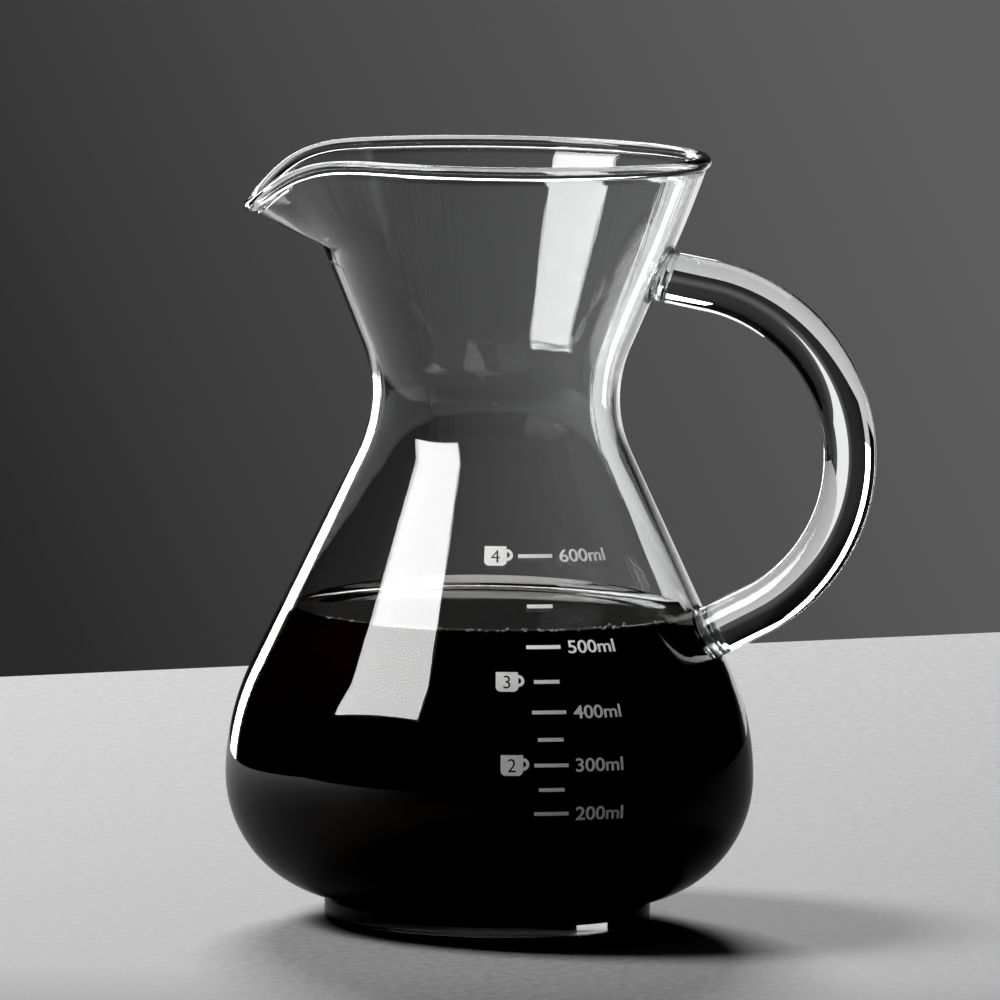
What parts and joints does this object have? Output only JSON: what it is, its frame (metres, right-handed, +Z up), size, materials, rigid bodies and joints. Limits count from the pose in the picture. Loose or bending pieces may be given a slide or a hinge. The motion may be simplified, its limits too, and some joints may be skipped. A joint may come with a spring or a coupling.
{
  "type": "coffee server carafe",
  "caption": "Clear glass coffee carafe with a full belly, drawn-in waist, flared mouth, pulled pouring lip, welded bent-rod handle and printed volume scale.",
  "frame": {"origin": "middle of the flat base, on the surface that the carafe stands on", "axes": "+Z up along the vessel's axis, +X towards the handle, -Y towards the printed scale"},
  "size_m": [0.1412, 0.115, 0.1679],
  "materials": {
    "clear_glass": "clear colourless borosilicate glass, fire polished",
    "white_enamel": "white fired-on enamel print, satin"
  },
  "bodies": {
    "root": {"glass_body": "clear_glass", "handle_rod": "clear_glass", "upper_weld": "clear_glass", "lower_weld": "clear_glass", "volume_lines": "white_enamel", "half_lines": "white_enamel", "cup_signs": "white_enamel"}
  },
  "joints": []
}
